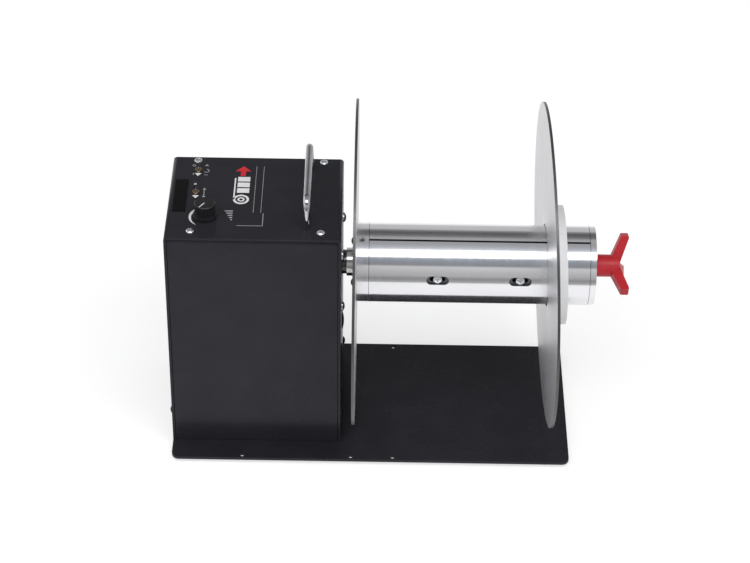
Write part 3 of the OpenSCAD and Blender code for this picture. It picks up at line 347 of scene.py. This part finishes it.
# The jaws' turned aluminium, with painted shade in its slots and at its two ends
JAW_ALUMINIUM_PAINTED_SHADE = turned_metal("jaw_aluminium_painted_shade", *ALUMINIUM, JAW_PAINTED_SHADE)
DARK_STEEL = turned_metal("dark_steel", (0.09, 0.09, 0.09), (0.15, 0.145, 0.14), 0.14, 0.26)
WHITE_INK = moulded("white_ink", (0.70, 0.70, 0.70), (0.80, 0.80, 0.80), 0.45, 0.6, 3000, 0.005)
GREY_INK = moulded("grey_ink", (0.30, 0.30, 0.31), (0.36, 0.36, 0.37), 0.45, 0.6, 3000, 0.005)
RED_INK = moulded("red_ink", (0.55, 0.014, 0.022), (0.66, 0.022, 0.032), 0.45, 0.6, 3000, 0.005)

# Solids whose look differs from the rest of their slot; the jaws and the set screw carry painted shade
NODE_FINISHES = {
    "jaw_1": JAW_ALUMINIUM_PAINTED_SHADE,
    "jaw_2": JAW_ALUMINIUM_PAINTED_SHADE,
    "jaw_3": JAW_ALUMINIUM_PAINTED_SHADE,
    "spindle_shaft": DARK_STEEL,
    # Painted shade: the set screw sits in its hole, so it gets the darker cast alloy finish in place of
    # its slot's, as the hole's shade
    "hub_set_screw": FINISHES["cast_alloy"],
}


def dress_solids():
    """Gives each solid the finish of its slot in the record, or its own finish."""
    for row in frame["record"]["subparts"]:
        data = nodes[row["node"]].data
        data.materials.clear()
        data.materials.append(NODE_FINISHES.get(row["node"], FINISHES[row["material_slot"]]))


def soften(width, *names):
    """Breaks the sharp edges of solids by a width in millimetres."""
    for name in names:
        weld = nodes[name].modifiers.new("join", "WELD")
        weld.merge_threshold = WELD_GAP
        flat = nodes[name].modifiers.new("whole_faces", "DECIMATE")
        flat.decimate_type = "DISSOLVE"
        flat.angle_limit = FLAT_ANGLE
        edge = nodes[name].modifiers.new("soft_edges", "BEVEL")
        edge.width = width * MM
        edge.segments = EDGE_SEGMENTS
        edge.limit_method = "ANGLE"
        edge.angle_limit = SHARP_ANGLE
        edge.use_clamp_overlap = True
        edge.harden_normals = True


# Printed marks: flat outlines in millimetres, made into closed ink as thick as INK_T


def turns_between(start, end):
    """Even steps from one angle in degrees to another, in radians."""
    return [math.radians(start + (end - start) * i / ARC_STEPS) for i in range(ARC_STEPS + 1)]


def arc(centre, radius, start, end):
    """Points on an arc, with angles in degrees from +X towards +Y."""
    turns = turns_between(start, end)
    return [(centre[0] + radius * math.cos(t), centre[1] + radius * math.sin(t)) for t in turns]


def band(centre, inner, outer, start, end):
    """Outline of an arc with a width."""
    return arc(centre, outer, start, end) + arc(centre, inner, end, start)


def ring(centre, inner, outer):
    """A full ring, as two half bands."""
    return [band(centre, inner, outer, start, start + 180) for start in (0, 180)]


def bar(x0, y0, x1, y1):
    return [(x0, y0), (x1, y0), (x1, y1), (x0, y1)]


def head(x, y, half, length):
    """An arrow head along Y, with its base's middle at x, y; a negative length points to the front."""
    return [(x - half, y), (x + half, y), (x, y + length)]


def ink(name, outlines, body, material, place):
    """Outlines of millimetres from a place in metres, as one thin closed mesh."""
    mesh = bmesh.new()
    for outline in outlines:
        points = [mesh.verts.new((place[0] + x * MM, place[1] + y * MM, place[2])) for x, y in outline]
        face = mesh.faces.new(points)
        raised = bmesh.ops.extrude_face_region(mesh, geom=[face])["geom"]
        top = [v for v in raised if isinstance(v, bmesh.types.BMVert)]
        bmesh.ops.translate(mesh, verts=top, vec=(0, 0, INK_T))
    bmesh.ops.recalc_face_normals(mesh, faces=mesh.faces)
    data = bpy.data.meshes.new(name)
    mesh.to_mesh(data)
    mesh.free()
    data.materials.append(material)
    made = bpy.data.objects.new(name, data)
    scene.collection.objects.link(made)
    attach(made, body)


def panel_place(node):
    """A solid's middle on the panel, in millimetres from the panel's corner."""
    low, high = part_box(node)
    middle = ((low + high) / 2 - PANEL) / MM
    return middle.x, middle.y


def switch_marks():
    """A pointer in front of each switch, and what its two ends mean."""
    torque_x, torque_y = panel_place("torque_switch")
    turn_x, turn_y = panel_place("direction_switch")
    middles = ((torque_x, torque_y), (turn_x, turn_y))
    white = [head(x, y - POINTER_GAP, POINTER_HALF, -POINTER_L) for x, y in middles]
    level_x = torque_x + SIGN_RIGHT
    grey = [bar(torque_x - 4.8, torque_y - 7, torque_x - 4, torque_y - 4)]
    grey += ring((torque_x - 4.4, torque_y + 8.4), 0.9, 1.6)
    grey += [bar(level_x - 1.6, torque_y - 7.2, level_x + 1.6, torque_y - 6.4)]
    grey += [band((level_x, torque_y), 2.1, 2.9, -150, 90), head(level_x, torque_y + 8, 2, 2.6)]
    arrow_x = turn_x + SIGN_RIGHT
    grey += [bar(arrow_x - 0.4, turn_y - 5, arrow_x + 0.4, turn_y + 5)]
    grey += [head(arrow_x, turn_y + 5, 1.8, 3.4), head(arrow_x, turn_y - 5, 1.8, -3.4)]
    return white, grey


def dial_marks():
    """A crescent that widens clockwise beside the dial, and rising steps on its other side."""
    x, y = panel_place("torque_knob")
    turns = turns_between(SCALE_START, SCALE_END)
    inner = [14.9 - 2.45 * math.cos(t - math.radians(150)) for t in turns]
    crescent = arc((x, y), SCALE_R, SCALE_END, SCALE_START)
    crescent += [(x + r * math.cos(t), y + r * math.sin(t)) for r, t in zip(inner, turns)]
    steps = [bar(x + 25 - 1.5 * i, y - 8.6 + 3.4 * i, x + 25, y - 6.8 + 3.4 * i) for i in range(1, 6)]
    return [crescent], steps


def roll_marks():
    """A roll, its web with labels on it, an arrow the way the web runs, and plain rules beside them."""
    roll = (67.6, 61.9)
    web_x = roll[0] - 7.5
    white = ring(roll, 5.2, 7.5) + ring(roll, 1.6, 3.4)
    white += [bar(web_x, roll[1], web_x + 1.4, 96.5)]
    white += [bar(web_x + 3, y, web_x + 14.5, y + 7.4) for y in (72.5, 81.7, 90.9)]
    red = [bar(65.2, 99.9, 70, 107.5), head(67.6, 107.5, 7.5, 8.4)]
    grey = [bar(x, 41, x + 0.5, 116) for x in (79.6, 86.6)]
    corner = [bar(65.6, 20.3, 89.6, 21), bar(88.9, 21, 89.6, 40)]
    return white, grey + corner, red


def print_marks():
    """All the marks on the top panel, and the pointer on the dial."""
    switch_white, switch_grey = switch_marks()
    dial_white, dial_grey = dial_marks()
    roll_white, roll_grey, roll_red = roll_marks()
    ink("white_marks", switch_white + dial_white + roll_white, "frame", WHITE_INK, PANEL)
    ink("grey_marks", switch_grey + dial_grey + roll_grey, "frame", GREY_INK, PANEL)
    ink("red_marks", roll_red, "frame", RED_INK, PANEL)
    low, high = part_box("torque_knob")
    top = Vector(((low.x + high.x) / 2, (low.y + high.y) / 2, high.z))
    turn = math.radians(SCALE_START)
    along = Vector((math.cos(turn), math.sin(turn)))
    across = Vector((-math.sin(turn), math.cos(turn)))
    line = [along * a + across * b for a, b in ((0.4, -0.5), (8.6, -0.5), (8.6, 0.5), (0.4, 0.5))]
    ink("dial_pointer", [[tuple(point) for point in line]], "torque_dial", WHITE_INK, top)


# Floor, light and camera


def shader_tree(owner):
    """An empty node tree of a material or a world, and its output."""
    owner.use_nodes = True
    tree = owner.node_tree
    tree.nodes.clear()
    kind = "World" if isinstance(owner, bpy.types.World) else "Material"
    return tree, tree.nodes.new("ShaderNodeOutput" + kind)


def seen_rays(tree):
    """1 for rays from the camera, off gloss or through glass, and 0 for the rest."""
    path = tree.nodes.new("ShaderNodeLightPath")
    total = path.outputs["Is Camera Ray"]
    for kind in ("Is Glossy Ray", "Is Transmission Ray"):
        either = tree.nodes.new("ShaderNodeMath")
        either.operation = "MAXIMUM"
        tree.links.new(total, either.inputs[0])
        tree.links.new(path.outputs[kind], either.inputs[1])
        total = either.outputs[0]
    return total


def stage_piece(name, corners, faces):
    """A mesh that belongs to the studio, with a new empty material."""
    data = bpy.data.meshes.new(name)
    data.from_pydata(corners, [], faces)
    material = bpy.data.materials.new(name)
    data.materials.append(material)
    made = bpy.data.objects.new(name, data)
    scene.collection.objects.link(made)
    return made, *shader_tree(material)


def build_floor():
    """A matte floor that shows nearly white, and darker where the part shades it."""
    half = FLOOR_HALF_WIDTH
    corners = [(-half, -half, 0), (half, -half, 0), (half, half, 0), (-half, half, 0)]
    _, tree, out = stage_piece("floor", corners, [(0, 1, 2, 3)])
    both = tree.nodes.new("ShaderNodeAddShader")
    matte = tree.nodes.new("ShaderNodeBsdfDiffuse")
    matte.inputs["Color"].default_value = (*FLOOR_COLOUR, 1)
    glow = tree.nodes.new("ShaderNodeEmission")
    glow.inputs["Color"].default_value = (*FLOOR_GLOW, 1)
    tree.links.new(seen_rays(tree), glow.inputs["Strength"])
    tree.links.new(matte.outputs[0], both.inputs[0])
    tree.links.new(glow.outputs[0], both.inputs[1])
    tree.links.new(both.outputs[0], out.inputs["Surface"])


def build_world():
    """Soft light that fades from the front to the back, behind a white backdrop."""
    scene.world = bpy.data.worlds.new("studio")
    tree, out = shader_tree(scene.world)
    mix = tree.nodes.new("ShaderNodeMixShader")
    light = tree.nodes.new("ShaderNodeBackground")
    light.inputs["Color"].default_value = (*WORLD_COLOUR, 1)
    coords = tree.nodes.new("ShaderNodeTexCoord")
    split = tree.nodes.new("ShaderNodeSeparateXYZ")
    tree.links.new(coords.outputs["Generated"], split.inputs["Vector"])
    level = tree.nodes.new("ShaderNodeMapRange")
    levels = {"From Min": -1, "From Max": 1, "To Min": WORLD_FRONT, "To Max": WORLD_BACK}
    for socket, value in levels.items():
        level.inputs[socket].default_value = value
    tree.links.new(split.outputs["Y"], level.inputs["Value"])
    tree.links.new(level.outputs["Result"], light.inputs["Strength"])
    seen = tree.nodes.new("ShaderNodeBackground")
    seen.inputs["Color"].default_value = (1, 1, 1, 1)
    tree.links.new(seen_rays(tree), mix.inputs["Fac"])
    tree.links.new(light.outputs[0], mix.inputs[1])
    tree.links.new(seen.outputs[0], mix.inputs[2])
    tree.links.new(mix.outputs[0], out.inputs["Surface"])


def around(angle, distance):
    """A point round the spindle axis: an angle above the front horizon and a distance."""
    turn = math.radians(angle)
    return Vector((0, AXIS.y - distance * math.cos(turn), AXIS.z + distance * math.sin(turn)))


def build_studio_walls():
    """One strip of walls and ceiling over the spindle, which only reflections show."""
    half = Vector((STUDIO_HALF_WIDTH, 0, 0))
    corners, colours = [], []
    for angle, tone, cool in STUDIO_TONES:
        fall = max(math.sin(math.radians(-angle)), LEAST_FALL)
        point = around(angle, min(STUDIO_RADIUS, STUDIO_FOOT * AXIS.z / fall))
        corners += [point - half, point + half]
        colours += 2 * [*(Vector((1, 1, 1)).lerp(COOL, cool) * tone), 1]
    faces = [(i, i + 1, i + 3, i + 2) for i in range(0, len(corners) - 2, 2)]
    walls, tree, out = stage_piece("studio_walls", corners, faces)
    walls.data.attributes.new("tone", "FLOAT_COLOR", "POINT").data.foreach_set("color", colours)
    tone = tree.nodes.new("ShaderNodeAttribute")
    tone.attribute_name = "tone"
    glow = tree.nodes.new("ShaderNodeEmission")
    tree.links.new(tone.outputs["Color"], glow.inputs["Color"])
    tree.links.new(glow.outputs[0], out.inputs["Surface"])
    walls.visible_camera = False
    walls.visible_diffuse = False
    walls.visible_shadow = False
    walls.visible_transmission = False


def build_key_light():
    """A long softbox in front of and above the drum, aimed at the spindle's middle."""
    data = bpy.data.lights.new("key", "AREA")
    data.shape = "RECTANGLE"
    data.size, data.size_y = KEY_SIZE
    data.energy = KEY_POWER
    lamp = bpy.data.objects.new("key", data)
    lamp.location = around(KEY_ANGLE, KEY_DISTANCE)
    lamp.rotation_euler = (AXIS - lamp.location).to_track_quat("-Z", "Y").to_euler()
    scene.collection.objects.link(lamp)


def build_camera():
    """A camera at the place and turns above, level with the horizon before its roll."""
    pitch, yaw, roll = (math.radians(a) for a in (CAMERA_PITCH, CAMERA_YAW, CAMERA_ROLL))
    ahead = Vector((math.sin(yaw) * math.cos(pitch), math.cos(yaw) * math.cos(pitch), -math.sin(pitch)))
    level = Vector((math.cos(yaw), -math.sin(yaw), 0))
    rise = level.cross(ahead)
    right = math.cos(roll) * level + math.sin(roll) * rise
    up = -math.sin(roll) * level + math.cos(roll) * rise
    data = bpy.data.cameras.new("camera")
    data.sensor_width = SENSOR_WIDTH
    data.lens = FOCAL_LENGTH * SENSOR_WIDTH / FRAME_WIDTH
    data.clip_end = CAMERA_REACH
    camera = bpy.data.objects.new("camera", data)
    aim = Matrix((right, up, -ahead)).transposed().to_4x4()
    camera.matrix_world = Matrix.Translation(CAMERA_PLACE) @ aim
    scene.collection.objects.link(camera)
    scene.camera = camera


dress_solids()
soften(1.2, "case_shell")
soften(0.6, "base_plate")
soften(0.4, "front_cover", "rear_cover")
soften(1.2, "flange_hub")
print_marks()
build_floor()
build_world()
build_studio_walls()
build_key_light()
build_camera()
scene.view_settings.view_transform = "Standard"
